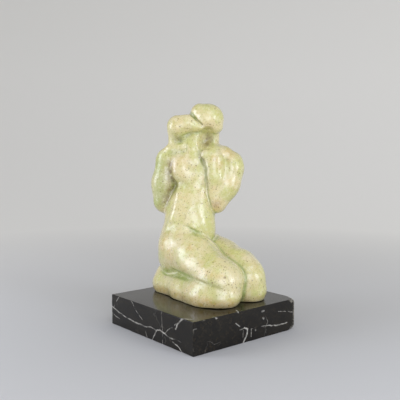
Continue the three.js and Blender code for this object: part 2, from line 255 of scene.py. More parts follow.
# Arms. Both elbows hang at her sides, and both hands come up to the neck.
def right_arm(p):
    upper_arm = limb(p, 10, (upper(-31.2, 7, 162.5), 11), (upper(-32.9, 8, 141), 11),
                     (upper(-33.2, 9, 121.5), 11.2))
    forearm = stretch(p, upper(-27, 8, 119), 9, upper(-26, 6, 168), 7)
    hand = limb(p, 3, (upper(-30.5, 4, 168), 8), (upper(-25, 0.5, 174.8), 6),
                (upper(-13.5, -2.5, 177.4), 4.8))
    return join(5, join(6, upper_arm, forearm), hand)


# Clay left between the right arm and the ribs, and under the right hand
def right_web(p):
    return join(3, egg(p, upper(-26, 12, 140), (12, 7, 30), TURNED),
                egg(p, upper(-17, -0.6, 171), (10, 5, 6), TURNED))


def left_arm(p):
    upper_arm = limb(p, 10, (upper(35, 2, 155), 12.2), (upper(30.8, 0.5, 139), 12.3),
                     (upper(20.9, -1.5, 120.8), 10.7))
    shoulder = egg(p, upper(35.5, 3.5, 160.5), (12.1, 12, 13.8), TURNED)
    forearm = stretch(p, upper(18.5, -4, 121.5), 9.8, upper(20, -6, 145), 10.5)
    wrist = egg(p, upper(18.6, -7, 157), (11.2, 10, 18.4), TURNED)
    hand = stretch(p, upper(16.5, -7, 167), 7.8, upper(9.5, -8.8, 169.6), 5.5)
    groove = limb(p, 1, (upper(21, -6, 178), 0.8), (upper(28.3, -10.3, 170), 1.1),
                  (upper(31.8, -12.6, 162), 1.2), (upper(32.5, -14, 152), 0.4))
    arm = join(3, join(10, upper_arm, shoulder), join(6, forearm, wrist))
    return carve(4, join(4, arm, hand), groove)


# Head. It is thrown back and turned to her right: a smooth face without features on her right,
# the jaw over the neck, and the round mass of hair on her left that falls to the shoulder.
def head(p):
    hair = join(3, egg(p, upper(12.6, 1, 205.8), (15.6, 15, 15.6), TURNED),
                egg(p, upper(3.4, 1, 212.6), (8.8, 10, 9), TURNED),
                egg(p, upper(16.8, 2, 197.4), (10.4, 11, 6.8), TURNED))
    face = limb(p, 2, (upper(-18.5, 0, 198.3), 11.2), (upper(-8, -2.5, 201.3), 8.7),
                (upper(8, -9, 196), 3))
    under_jaw = limb(p, 2, (upper(-14, -11, 182.5), 6), (upper(-5, -10, 187.5), 6.5),
                     (upper(8, -11, 186), 6.5))
    throat = stretch(p, upper(-22, 2, 192), 6.8, upper(-20.8, 4, 176), 7.6)
    skull = join(1.8, carve(0.8, face, under_jaw), hair)
    return join(4, skull, throat)


def head_on_neck(p):
    neck = limb(p, 6, (upper(-1, 0.5, 165), 10.5), (upper(-1.5, 2, 179), 8),
                (upper(0, 4, 200), 7.5))
    hair_fall = stretch(p, upper(15.4, 6, 198), 8.2, upper(12.5, 8, 172), 9.2)
    nape = egg(p, upper(-1, 10.5, 187), (20.5, 8, 25), TURNED)
    under_face = stretch(p, upper(-13, 1.5, 188), 5.5, upper(-7.5, 1, 178), 6.5)
    recess = egg(p, upper(11.2, -9, 183.8), (8.4, 11.4, 12.8), TURNED)
    standing = join(1.5, head(p), join(2, join(6, neck, under_face), hair_fall))
    return carve(4, join(9, standing, nape), recess)


def woman(p):
    lap = limb(p, 1, ((-8.9, 12, 98.7), 0.2), ((-3.1, 5.1, 92.9), 0.8), ((-1.2, -4, 88.3), 1.1),
               ((3, -11, 83.5), 1.3), ((4.2, -16.5, 79.4), 1))
    body = join(8, torso(p), shoulders(p))
    with_right_arm = join(3, join(4, body, right_web(p)), right_arm(p))
    with_arms = join(2, with_right_arm, left_arm(p))
    whole = join(3, join(3, with_arms, legs(p)), head_on_neck(p))
    arm_gap = limb(p, 1, ((9.8, 14, 173), 0.9), ((10.9, 12, 164), 1.4), ((11.8, 8.2, 156), 1),
                   ((11.2, 8.1, 145), 0.4), ((12, 7.8, 130), 0.3), ((15, 4.8, 116), 0.1))
    return np.maximum(carve(2.5, carve(2.5, whole, lap), arm_gap), FIGURE_BASE - p[:, 2])


# Finer relief, too small for the solid. Each kind of wave has a length and a height.
HAND_WAVES = ((34, 0.14), (19, 0.06), (11, 0.022), (6.5, 0.008))
WAVES_OF_A_KIND = 5


def hand_made(p):
    """The slight waviness of a surface smoothed by hand."""
    rng = np.random.default_rng(7)
    wave = np.zeros(len(p))
    for length, height in HAND_WAVES:
        for _ in range(WAVES_OF_A_KIND):
            way = rng.normal(size=3)
            way *= 2 * math.pi / (length * rng.uniform(0.8, 1.25) * np.linalg.norm(way))
            wave += height * np.sin(p @ way + rng.uniform(0, 2 * math.pi))
    return wave


def away_from(p, *places):
    """Distance from a place, or from a line drawn through several places."""
    away = np.linalg.norm(p - np.asarray(places[0], float), axis=1)
    for a, b in zip(places, places[1:]):
        a, axis = np.asarray(a, float), np.subtract(b, a, dtype=float)
        share = np.clip((p - a) @ axis / (axis @ axis), 0.0, 1.0)
        away = np.minimum(away, np.linalg.norm(p - a - share[:, None] * axis, axis=1))
    return away


def incised(p, depth, width, *places):
    """A drawn line, cut to a depth with a soft edge."""
    return depth * np.exp(-(away_from(p, *places) / width) ** 2)


def drawn_lines(p):
    hairline = incised(p, 1.2, 0.8, (4.4, 23.2, 209.2), (6.6, 20, 206.3), (7.5, 15.5, 203.5),
                       (9.5, 12.5, 200.4), (15, 12.8, 197.1))
    lap = incised(p, 0.7, 0.7, (-11.4, 15.3, 100.6), (-6.4, 8.9, 96.5), (-3.1, 5.1, 92.9),
                  (-2.1, -1.4, 89.8), (-0.2, -6.8, 86.8), (2.7, -10.8, 83.7))
    hand_end = incised(p, 0.9, 0.8, (0.9, 26.8, 179.7), (1.1, 26.5, 177.2), (1.5, 26.5, 174.6))
    return hairline + lap + hand_end


def fine_woman(p):
    return woman(p) + hand_made(p) + drawn_lines(p)


# Skin. One point is set in every cell that the surface passes through, drawn onto the
# surface and joined to the points of the neighbouring cells. Blocks of COARSE cells each way
# are looked at first, and their cells only where the surface may be within NEAR_BLOCKS.
COARSE = 4
NEAR_BLOCKS = 1.6
SLOPE_STEP = 0.05
LEAST_STEEP = 0.2
CELL_RIM = 0.05
SLICE = 120000


def in_slices(shape, points):
    """The shape's values at the points, worked out a slice at a time to spare memory."""
    return np.concatenate([shape(points[i:i + SLICE]) for i in range(0, len(points), SLICE)])


def grid_values(shape, low, cell, counts):
    """Values on a fine grid: exact near the surface, and elsewhere only their sign."""
    blocks = [math.ceil((n - 1) / COARSE) for n in counts]
    axes = [low[i] + cell * COARSE * np.arange(blocks[i] + 1) for i in range(3)]
    corners = np.stack(np.meshgrid(*axes, indexing="ij"), -1).reshape(-1, 3)
    rough = in_slices(shape, corners).reshape([n + 1 for n in blocks])
    parts = [rough[a:a + blocks[0], b:b + blocks[1], c:c + blocks[2]]
             for a in (0, 1) for b in (0, 1) for c in (0, 1)]
    near = np.min(np.abs(parts), axis=0) < cell * COARSE * NEAR_BLOCKS
    fine_shape = [n * COARSE + 1 for n in blocks]
    values = np.repeat(np.repeat(np.repeat(rough, COARSE, 0), COARSE, 1), COARSE, 2)
    values = values[:fine_shape[0], :fine_shape[1], :fine_shape[2]].copy()
    wanted = np.zeros(fine_shape, bool)
    for i, j, k in np.argwhere(near) * COARSE:
        wanted[i:i + COARSE + 1, j:j + COARSE + 1, k:k + COARSE + 1] = True
    places = np.argwhere(wanted)
    values[wanted] = in_slices(shape, np.asarray(low) + cell * places)
    return values


def crossing_points(values, low, cell):
    """The middle of the places where the surface crosses each cell's edges.

    Also gives the cells that it passes through, and the number of each on the grid.
    """
    inside = values < 0
    shape = np.array(values.shape) - 1
    total = np.zeros((*shape, 3))
    count = np.zeros(shape)
    for axis in range(3):
        for a in (0, 1):
            for b in (0, 1):
                offset = [0, 0, 0]
                offset[(axis + 1) % 3] = a
                offset[(axis + 2) % 3] = b
                near = tuple(slice(o, o + n) for o, n in zip(offset, shape))
                offset[axis] = 1
                far = tuple(slice(o, o + n) for o, n in zip(offset, shape))
                crossed = inside[near] != inside[far]
                span = np.where(crossed, values[near] - values[far], 1.0)
                share = np.where(crossed, values[near] / span, 0.0)
                count += crossed
                total[..., (axis + 1) % 3] += crossed * a
                total[..., (axis + 2) % 3] += crossed * b
                total[..., axis] += share
    cells = np.argwhere(count > 0)
    middle = total[count > 0] / count[count > 0][:, None]
    number = np.full(tuple(shape), -1)
    number[count > 0] = np.arange(len(cells))
    return np.asarray(low) + cell * (cells + middle), cells, number


def faces_between(values, number):
    """Faces that face outwards, each joining the four cells round a crossed edge."""
    inside = values < 0
    quads = []
    for axis in range(3):
        u, v = (axis + 1) % 3, (axis + 2) % 3
        near = [slice(1, -1)] * 3
        far = [slice(1, -1)] * 3
        far[axis] = slice(2, None)
        crossed = np.argwhere(inside[tuple(near)] != inside[tuple(far)]) + 1
        outwards = inside[tuple(crossed.T)]
        around = []
        for a, b in ((0, 0), (1, 0), (1, 1), (0, 1)):
            place = crossed.copy()
            place[:, u] -= a
            place[:, v] -= b
            around.append(number[tuple(place.T)])
        quad = np.stack(around, 1)
        quad[~outwards] = quad[~outwards][:, ::-1]
        quads.append(quad)
    return np.concatenate(quads)


def slope_of(shape, points):
    """How fast the shape's values rise along each axis."""
    slope = np.zeros_like(points)
    for axis in range(3):
        move = np.zeros(3)
        move[axis] = SLOPE_STEP
        slope[:, axis] = in_slices(shape, points + move) - in_slices(shape, points - move)
    return slope / (2 * SLOPE_STEP)


def drawn_onto(shape, points, cells, low, cell):
    """Draws points onto the surface without letting them leave their own cells."""
    corner = np.asarray(low) + cell * cells
    rim = cell * CELL_RIM
    for _ in range(2):
        slope = slope_of(shape, points)
        steep = np.maximum(np.einsum("ij,ij->i", slope, slope), LEAST_STEEP)
        points = points - slope * (in_slices(shape, points) / steep)[:, None]
    return np.clip(points, corner + rim, corner + cell - rim)


def skin(shape, cell):
    """Points and faces of the shape's surface."""
    counts = [math.ceil((high - low) / cell) + 1 for low, high in zip(SKIN_LOW, SKIN_HIGH)]
    values = grid_values(shape, SKIN_LOW, cell, counts)
    points, cells, number = crossing_points(values, SKIN_LOW, cell)
    points = drawn_onto(shape, points, cells, SKIN_LOW, cell)
    return points, faces_between(values, number)


# How far out from a point other clay is looked for, and the weight of each reach. An edge is
# told by the lack of clay EDGE_REACH below a point.
HOLLOW_REACHES = ((2.0, 0.35), (4.5, 0.35), (10.0, 0.3))
EDGE_REACH = 3.5
EDGE_GAIN = 2.5


def hollowness(shape, points, normals):
    """How deep each point lies in a hollow: 0 on open surface, 1 at the bottom of a fold."""
    deep = np.zeros(len(points))
    for reach, weight in HOLLOW_REACHES:
        clear = in_slices(shape, points + normals * reach) / reach
        deep += weight * np.clip(1.0 - clear, 0.0, 1.0)
    return deep


def sharpness(shape, points, normals):
    """How much each point stands on an edge: 0 on broad surface, towards 1 on a tight round."""
    buried = -in_slices(shape, points - normals * EDGE_REACH) / EDGE_REACH
    return np.clip((1.0 - buried) * EDGE_GAIN, 0.0, 1.0)


# Materials
def new_material(name):
    material = bpy.data.materials.new(name)
    material.use_nodes = True
    material.node_tree.nodes.clear()
    return material, Nodes(material.node_tree)


class Nodes:
    """Short ways to add and link shader nodes."""

    def __init__(self, tree):
        self.tree = tree

    def add(self, kind, **settings):
        node = self.tree.nodes.new(kind)
        for key, value in settings.items():
            setattr(node, key, value)
        return node

    def put(self, socket, value):
        if isinstance(value, bpy.types.NodeSocket):
            self.tree.links.new(value, socket)
        else:
            socket.default_value = value

    def place(self):
        """Where the surface lies, in metres."""
        return self.add("ShaderNodeTexCoord").outputs["Object"]

    def value(self, name):
        """A value that is kept with each point of the mesh."""
        return self.add("ShaderNodeAttribute", attribute_name=name).outputs["Fac"]

    def math(self, operation, a, b=0.0, c=0.0, clamp=False):
        node = self.add("ShaderNodeMath", operation=operation, use_clamp=clamp)
        for socket, value in zip(node.inputs, (a, b, c)):
            self.put(socket, value)
        return node.outputs[0]

    def vector(self, operation, a, b=(0.0, 0.0, 0.0)):
        node = self.add("ShaderNodeVectorMath", operation=operation)
        self.put(node.inputs[0], a)
        self.put(node.inputs[1], b)
        return node

    def ramp(self, value, low, high, smooth=True):
        """Rises from 0 where the value is low to 1 where it is high."""
        kind = "SMOOTHSTEP" if smooth else "LINEAR"
        node = self.add("ShaderNodeMapRange", interpolation_type=kind)
        self.put(node.inputs["Value"], value)
        node.inputs["From Min"].default_value = low
        node.inputs["From Max"].default_value = high
        return node.outputs["Result"]

    def mix(self, factor, a, b):
        """The first colour where the factor is 0, and the second where it is 1."""
        node = self.add("ShaderNodeMix", data_type="RGBA")
        self.put(node.inputs["Factor"], factor)
        self.put(node.inputs[6], a)
        self.put(node.inputs[7], b)
        return node.outputs[2]

    def tinted(self, colour, other, amount, most):
        """The colour, taken towards another by the amount times the most."""
        return self.mix(self.math("MULTIPLY", amount, most), colour, other)

    def noise_node(self, place, size_mm, seed):
        node = self.add("ShaderNodeTexNoise", noise_dimensions="4D")
        self.put(node.inputs["Vector"], place)
        node.inputs["W"].default_value = seed
        node.inputs["Scale"].default_value = PER_METRE / size_mm
        return node

    def noise(self, place, size_mm, detail, rough, seed):
        node = self.noise_node(place, size_mm, seed)
        node.inputs["Detail"].default_value = detail
        node.inputs["Roughness"].default_value = rough
        return node.outputs["Fac"]

    def shaken(self, place, size_mm, far_mm, seed):
        """The place, moved about by noise of that size by up to about that far."""
        node = self.noise_node(place, size_mm, seed)
        centred = self.vector("SUBTRACT", node.outputs["Color"], (0.5, 0.5, 0.5)).outputs[0]
        reach = 2.0 * far_mm * MM
        moved = self.vector("MULTIPLY", centred, (reach, reach, reach)).outputs[0]
        return self.vector("ADD", place, moved).outputs[0]

    def specks(self, place, spacing_mm, radius_mm, share, seed):
        """Round specks: in a share of the cells of that spacing there is one of that radius."""
        shifted = self.vector("ADD", place, (seed, seed * 1.7, seed * 0.6)).outputs[0]
        node = self.add("ShaderNodeTexVoronoi", feature="F1")
        self.put(node.inputs["Vector"], shifted)
        node.inputs["Scale"].default_value = PER_METRE / spacing_mm
        node.inputs["Randomness"].default_value = 1.0
        split = self.add("ShaderNodeSeparateColor")
        self.put(split.inputs[0], node.outputs["Color"])
        chosen = self.math("LESS_THAN", split.outputs[0], share)
        size = self.math("MULTIPLY_ADD", split.outputs[1], 0.6, 0.6)
        reach = self.math("MULTIPLY", size, radius_mm / spacing_mm)
        inner = self.math("MULTIPLY", reach, 0.45)
        fade = self.add("ShaderNodeMapRange", interpolation_type="SMOOTHSTEP")
        self.put(fade.inputs["Value"], node.outputs["Distance"])
        self.put(fade.inputs["From Min"], inner)
        self.put(fade.inputs["From Max"], reach)
        fade.inputs["To Min"].default_value = 1.0
        fade.inputs["To Max"].default_value = 0.0
        return self.math("MULTIPLY", fade.outputs["Result"], chosen)

    def bump(self, height_mm):
        """The surface's direction, changed as if it stood up by that height."""
        node = self.add("ShaderNodeBump")
        node.inputs["Strength"].default_value = 1.0
        node.inputs["Distance"].default_value = MM
        self.put(node.inputs["Height"], height_mm)
        return node.outputs["Normal"]

    def away_from_line(self, place, *places_mm):
        """Distance in metres from a line drawn through places given in millimetres."""
        nearest = 1.0
        for a, b in zip(places_mm, places_mm[1:]):
            start = Vector(a) * MM
            axis = Vector(b) * MM - start
            away = self.vector("SUBTRACT", place, tuple(start)).outputs[0]
            along = self.vector("DOT_PRODUCT", away, tuple(axis)).outputs["Value"]
            share = self.math("MULTIPLY", along, 1.0 / axis.length_squared, clamp=True)
            step = self.add("ShaderNodeVectorMath", operation="SCALE")
            step.inputs[0].default_value = tuple(axis)
            self.put(step.inputs["Scale"], share)
            gap = self.vector("DISTANCE", away, step.outputs[0]).outputs["Value"]
            nearest = self.math("MINIMUM", nearest, gap)
        return nearest

    def finish(self, inputs):
        """The surface with these inputs, which becomes the material's own."""
        shader = self.add("ShaderNodeBsdfPrincipled")
        for name, value in inputs.items():
            self.put(shader.inputs[name], value)
        output = self.add("ShaderNodeOutputMaterial")
        self.put(output.inputs["Surface"], shader.outputs[0])


# Glaze. These values are kept with each point of her skin.
SKIN_VALUES = ("hollow", "edge", "stain_and_shade", "green_tint_and_shade", "warm_tint")


def glaze_colour(n, place, values):
    """Mottled cream and yellow-green, pooling green and stained brown, with painted green and
    brown shade in recesses.
    """
    # Broad clouds, with pink and rust where the glaze is warm
    clouds = n.ramp(n.noise(place, 22.0, 5.0, 0.62, 1.3), 0.42, 0.6)
    colour = n.mix(clouds, CREAM, YELLOW_GREEN)
    blush = n.ramp(n.noise(place, 12.0, 4.0, 0.6, 4.1), 0.5, 0.66)
    warmth = n.math("MULTIPLY", values["warm_tint"], 0.75)
    blush = n.math("MULTIPLY_ADD", blush, 0.3, warmth, clamp=True)
    colour = n.mix(blush, colour, PINK)
    rust = n.ramp(n.noise(place, 6.0, 4.0, 0.65, 8.7), 0.44, 0.68)
    warmth = n.math("MULTIPLY_ADD", values["warm_tint"], 0.9, 0.12)
    rust = n.math("MULTIPLY", rust, warmth, clamp=True)
    colour = n.mix(rust, colour, OCHRE)

    # Green where the glaze pools, and painted green shade from the green patches; pale where it
    # runs thin over edges
    uneven = n.math("MULTIPLY_ADD", n.noise(place, 7.0, 3.0, 0.5, 2.9), 0.3, values["hollow"])
    pooled_and_shaded = n.math("ADD", n.ramp(uneven, 0.3, 0.8), values["green_tint_and_shade"], clamp=True)
    colour = n.tinted(colour, POOLED_GREEN_AND_SHADE, pooled_and_shaded, 0.85)
    thin = n.ramp(n.noise(place, 9.0, 3.0, 0.6, 7.7), 0.3, 0.65)
    thin = n.math("MULTIPLY", values["edge"], thin)
    colour = n.tinted(colour, THIN_PALE, thin, 0.55)

    # Small mottling
    mottle = n.ramp(n.noise(place, 3.2, 4.0, 0.65, 6.2), 0.46, 0.7)
    colour = n.tinted(colour, MOTTLE_PALE, mottle, 0.45)
    dapple = n.ramp(n.noise(place, 3.6, 4.0, 0.65, 16.4), 0.5, 0.72)
    colour = n.tinted(colour, DAPPLE_OLIVE, dapple, 0.5)
    grit = n.ramp(n.noise(place, 1.3, 3.0, 0.7, 36.4), 0.5, 0.7)
    colour = n.tinted(colour, GRIT_OLIVE, grit, 0.5)

    # Brown stains, and painted brown shade in recesses and creases, with uneven edges
    brown_and_shade = n.ramp(n.noise(place, 3.0, 4.0, 0.7, 26.4), 0.3, 0.65)
    brown_and_shade = n.math("MULTIPLY_ADD", brown_and_shade, 1.1, 0.35)
    brown_and_shade = n.math("MULTIPLY", values["stain_and_shade"], brown_and_shade, clamp=True)
    return n.mix(brown_and_shade, colour, STAIN_AND_SHADE_BROWN)


def glaze_specks(n, place, values):
    """Specks of three sizes, more of them in some clouds, in hollows and where it is warm."""
    crowd = n.ramp(n.noise(place, 20.0, 3.0, 0.5, 11.0), 0.42, 0.66)
    gathered = n.math("ADD", values["warm_tint"], values["hollow"])
    crowd = n.math("MULTIPLY_ADD", gathered, 0.5, crowd)
    smudged = n.shaken(place, 1.6, 0.5, 9.0)
    fine = n.specks(smudged, 1.8, 0.72, n.math("MULTIPLY_ADD", crowd, 0.55, 0.16), 0.013)
    medium = n.specks(smudged, 3.2, 0.9, n.math("MULTIPLY_ADD", crowd, 0.4, 0.08), 0.037)
    large = n.specks(smudged, 9.0, 1.4, n.math("MULTIPLY_ADD", crowd, 0.3, 0.12), 0.071)
    faint = n.math("MULTIPLY", fine, 0.6)
    return n.math("MAXIMUM", n.math("MAXIMUM", faint, medium), large)


def glaze_material():
    """Speckled glaze under a clear coat, which is duller in hollows and on green patches."""
    material, n = new_material("speckled_glaze")
    place = n.place()
    values = {name: n.value(name) for name in SKIN_VALUES}
    colour = glaze_colour(n, place, values)
    specks = glaze_specks(n, place, values)
    colour = n.tinted(colour, SPECK_BROWN, specks, 0.75)

    ripple = n.noise(place, 5.0, 2.0, 0.5, 3.3)
    grain = n.noise(place, 2.0, 4.0, 0.65, 5.5)
    body_height = n.math("MULTIPLY_ADD", ripple, 0.08, n.math("MULTIPLY", specks, -0.06))
    glass_height = n.math("MULTIPLY_ADD", grain, 0.32, body_height)

    rough = n.math("MULTIPLY_ADD", n.noise(place, 8.0, 3.0, 0.6, 9.1), 0.16, 0.2)
    gloss = n.math("MULTIPLY_ADD", n.noise(place, 5.0, 3.0, 0.6, 19.1), 0.1, 0.05)
    dull = n.math("MULTIPLY", values["hollow"], 0.9)
    dull = n.math("MULTIPLY_ADD", values["green_tint_and_shade"], 0.75, dull)
    n.finish({
        "Base Color": colour,
        "Roughness": rough,
        "Normal": n.bump(body_height),
        "IOR": 1.5,
        "Coat Weight": n.math("SUBTRACT", 1.1, dull, clamp=True),
        "Coat IOR": 1.7,
        "Coat Roughness": n.math("MULTIPLY_ADD", specks, 0.15, gloss),
        "Coat Normal": n.bump(glass_height),
    })
    return material


# White veins of the slab: half width and strength, then the places each runs through
VEINS = [
    (0.8, 0.85, (LEFT, 66, 18), (LEFT, 50, 13.8), (LEFT, 39, 12), (LEFT, 30, 11), (LEFT, 6.5, 10)),
    (0.6, 0.8, (LEFT, 6.5, 10), (LEFT, -3, 12), (LEFT, -12.5, 10.3)),
    (0.8, 0.95, (LEFT, -17, 12.5), (LEFT, -25, 10.5), (LEFT, -31, 9.2), (LEFT, -36, 9)),
    (0.6, 0.95, (LEFT, -36.5, 6), (LEFT, -44, 3.5), (LEFT, -50, 0)),
    (0.3, 0.4, (LEFT, -36, 9), (LEFT, -47, 8.6), (LEFT, -55, 7)),
    (0.4, 0.75, (LEFT, 29, 30), (LEFT, 21.5, 22), (LEFT, 11.5, 15.3)),
    (0.45, 0.75, (LEFT, 8.5, 9), (LEFT, 2.5, 0)),
    (0.4, 0.6, (LEFT, -19.3, 30), (LEFT, -20.4, 15), (LEFT, -21, 0)),
    (0.5, 0.7, (LEFT, 66, 11.2), (LEFT, 51, 8)),
    (0.5, 0.75, (LEFT, 51.5, 30), (LEFT, 60, 20), (LEFT, 62, 16)),
    (0.55, 0.8, (LEFT, -5, 0), (LEFT, -12.6, 10.8), (LEFT, -17.3, 12.4)),
    (0.6, 0.85, (LEFT, -25.6, 11), (LEFT, -30, 15.8), (LEFT, -36, 19)),
    (1.0, 1.0, (LEFT, -41, 18.8), (LEFT, -44, 24), (LEFT, -50.5, 30), (-60, -57, TOP)),
    (0.7, 0.5, (LEFT, -39.6, 22), (LEFT, -44, 24.8)),
    (0.5, 0.5, (LEFT, -62, 25), (-65, FRONT, 22.5), (-61, FRONT, 23.5)),
    (0.55, 0.8, (-60, -57, TOP), (-54.6, -64, TOP)),
    (0.8, 0.9, (-41.5, -63, TOP), (-38.5, FRONT, 29)),
    (0.8, 0.95, (-9.8, -59, TOP), (-13, FRONT, 29.5)),
    (0.9, 1.0, (-5, FRONT, 14), (-0.7, FRONT, 12), (-2, FRONT, 7.5), (-6.5, FRONT, 0)),
    (0.5, 0.6, (-11, FRONT, 13.5), (-4.5, FRONT, 14)),
    (0.6, 0.35, (-7, FRONT, 12), (-7, FRONT, 5.5)),
    (0.6, 0.7, (-16, FRONT, 20), (-11, FRONT, 16.6)),
    (0.5, 0.75, (3.2, FRONT, 4), (3.8, FRONT, 11), (15, FRONT, 11.3), (29, FRONT, 9.6)),
    (0.8, 0.75, (29, FRONT, 9.6), (41, FRONT, 8.3), (52, FRONT, 8.2)),
    (0.4, 0.5, (39, FRONT, 21.2), (49, FRONT, 19.5), (66, FRONT, 15.5)),
    (0.4, 0.4, (22.7, FRONT, 20), (25.5, FRONT, 13.6), (22, FRONT, 9)),
    (1.0, 0.6, (9, FRONT, 9), (9.6, FRONT, 8.8)),
    (1.3, 0.6, (19, FRONT, 18.7), (20, FRONT, 18.2)),
    (0.9, 0.5, (17, FRONT, 24.6), (20, FRONT, 25)),
    (0.4, 0.4, (-66, 48, TOP), (-48, 40, TOP), (-40, 24, TOP), (-28, 18, TOP)),
    (0.35, 0.4, (-44, -44, TOP), (-35, -41, TOP), (-22, -56, TOP)),
    (0.4, 0.55, (RIGHT, -20, 9), (RIGHT, 12, 15), (RIGHT, 40, 13), (RIGHT, 66, 21)),
    (0.5, 0.6, (-20, BACK, 0), (-4, BACK, 16), (24, BACK, 19), (36, BACK, 30), (52, 44, TOP)),
    (0.35, 0.5, (24, BACK, 19), (50, BACK, 8), (66, BACK, 5)),
]


# How close to a face of the slab a vein's places are, for the vein to show on it
FACE_REACH = 1.0


def veins_on(axis, level):
    """The veins that run through the face of the slab at that level of that axis."""
    return [vein for vein in VEINS
            if any(abs(place[axis] - level) <= FACE_REACH for place in vein[2:])]


def vein_amount(n, place, wander, veins):
    """How white the stone is: the veins, broken in places, with hair veins and flecks."""
    white = 0.0
    for half_width, strength, *places in veins:
        away = n.away_from_line(wander, *places)
        line = n.ramp(away, half_width * 1.25 * MM, half_width * 0.2 * MM)
        white = n.math("MAXIMUM", white, n.math("MULTIPLY", line, strength))
    broken = n.ramp(n.noise(place, 3.5, 5.0, 0.7, 6.0), 0.32, 0.62)
    white = n.math("MULTIPLY", white, n.math("MULTIPLY_ADD", broken, 0.7, 0.25))
    ridge = n.math("ABSOLUTE", n.math("SUBTRACT", n.noise(wander, 34.0, 4.0, 0.55, 14.0), 0.5))
    parting = n.ramp(n.noise(place, 30.0, 3.0, 0.5, 21.0), 0.5, 0.7)
    hair = n.math("MULTIPLY", n.ramp(ridge, 0.006, 0.0), parting)
    white = n.math("MAXIMUM", white, n.math("MULTIPLY", hair, 0.15))
    flecks = n.specks(place, 9.0, 0.75, 0.16, 0.05)
    return n.math("MAXIMUM", white, n.math("MULTIPLY", flecks, 0.5))


def marble_material(axis, level):
    """Polished black marble, with the veins that show on one face of the slab."""
    material, n = new_material("black_marble")
    place = n.place()
    wander = n.shaken(n.shaken(place, 14.0, 1.6, 1.0), 3.5, 0.8, 5.0)
    clouds = n.ramp(n.noise(place, 26.0, 6.0, 0.62, 2.0), 0.36, 0.72)
    colour = n.mix(clouds, STONE_BLACK, STONE_CLOUD)
    mottle = n.ramp(n.noise(place, 2.2, 4.0, 0.7, 31.0), 0.45, 0.75)
    colour = n.tinted(colour, STONE_BROWN, mottle, 0.5)
    colour = n.mix(vein_amount(n, place, wander, veins_on(axis, level)), colour, VEIN_WHITE)
    chipped = n.ramp(n.noise(place, 1.6, 4.0, 0.7, 12.0), 0.42, 0.6)
    worn = n.math("MULTIPLY", n.value("worn"), chipped)
    colour = n.tinted(colour, BARE_STONE, worn, 0.75)

    normal = n.add("ShaderNodeSeparateXYZ")
    n.put(normal.inputs[0], n.add("ShaderNodeTexCoord").outputs["Normal"])
    side = n.ramp(normal.outputs["Z"], 0.8, 0.3)
    rough = n.math("MULTIPLY_ADD", n.noise(place, 12.0, 4.0, 0.6, 4.0), 0.08, 0.07)
    rough = n.math("MULTIPLY_ADD", side, 0.05, rough)
    rough = n.math("MULTIPLY_ADD", worn, 0.3, rough)
    pits = n.math("MULTIPLY", n.noise(place, 2.0, 4.0, 0.6, 8.0), 0.04)
    n.finish({
        "Base Color": colour,
        "Roughness": rough,
        "Normal": n.bump(pits),
        "IOR": 1.42,
    })
    return material


# Pieces
def mesh_object(name, points, faces, *materials):
    """A smooth object from lists of points in metres and of faces."""
    mesh = bpy.data.meshes.new(name)
    mesh.from_pydata(points, [], faces)
    mesh.update()
    mesh.shade_smooth()
    for material in materials:
        mesh.materials.append(material)
    piece = bpy.data.objects.new(name, mesh)
    bpy.context.collection.objects.link(piece)
    return piece


def add_value(mesh, name, values):
    """Keeps a value with each point of the mesh, for its material."""
    layer = mesh.attributes.new(name, "FLOAT", "POINT")
    layer.data.foreach_set("value", np.ascontiguousarray(values, np.float32))


# Patches of the glaze: strength and width, then the place or the line of places it covers
# Brown: a real stain at the left elbow, and painted shade in the recess between the right arm and
# the ribs, under the jaw, in the recess under the hair, along the incised hairline and along the
# gap by the left hand; also a browner line along the front of the knees at the slab
BROWN_STAIN_AND_SHADE = [
    (0.6, 5.5, (-10, 38, 160), (-9.5, 38, 150), (-8, 39, 141), (-10, 40, 131), (-13, 42, 122)),
    (0.4, 4, (19, 1, 120)),
    (0.4, 3.5, (3.5, 32, 186), (-5, 34, 186)),
    (0.5, 5, (23, 18, 188), (20.5, 18, 181)),
    (0.5, 1.2, (4.4, 23.2, 209.2), (7.5, 15.5, 203.5), (9.5, 12.5, 200.4), (13, 12.6, 198.4)),
    (0.3, 3.5, (30, -44, 32), (8, -47, 32)),
    (0.2, 4, (10, 15, 172), (11, 9, 156), (11, 8, 140)),
]
# Green: the glaze's green tint on the right arm, a mint patch on the far thigh and a band at the
# hip, and painted green shade under the right hand, under the jaw, under the hair, in the folds
# between thighs and calves, between the thighs, under the breast and on the shin
GREEN_TINT_AND_SHADE = [
    (0.75, 9, (-18, 49, 161), (-19, 45, 144), (-19, 48, 129), (-19, 52, 120)),
    (0.7, 4, (-2, 30, 172.6), (-10, 36, 172)),
    (0.5, 6, (-7, 35, 186), (3.5, 32, 186)),
    (0.3, 6, (24, 18, 189), (21, 18, 182)),
    (0.9, 5, (-18, 36, 53), (-22, 22, 51.7), (-24.5, 5, 52.7), (-26, -15, 54)),
    (0.5, 4, (-28, -34, 55), (-25, -43, 53), (-22, -49, 50)),
    (0.5, 4, (22, 5, 84)),
    (0.3, 6, (22.6, -13.6, 75.6)),
    (0.4, 4, (-6, 28, 141.5), (-3, 20, 140.5)),
    (0.4, 6, (-24, -50, 42)),
    (0.4, 5, (-15, 28, 96), (-20, 31, 92)),
]
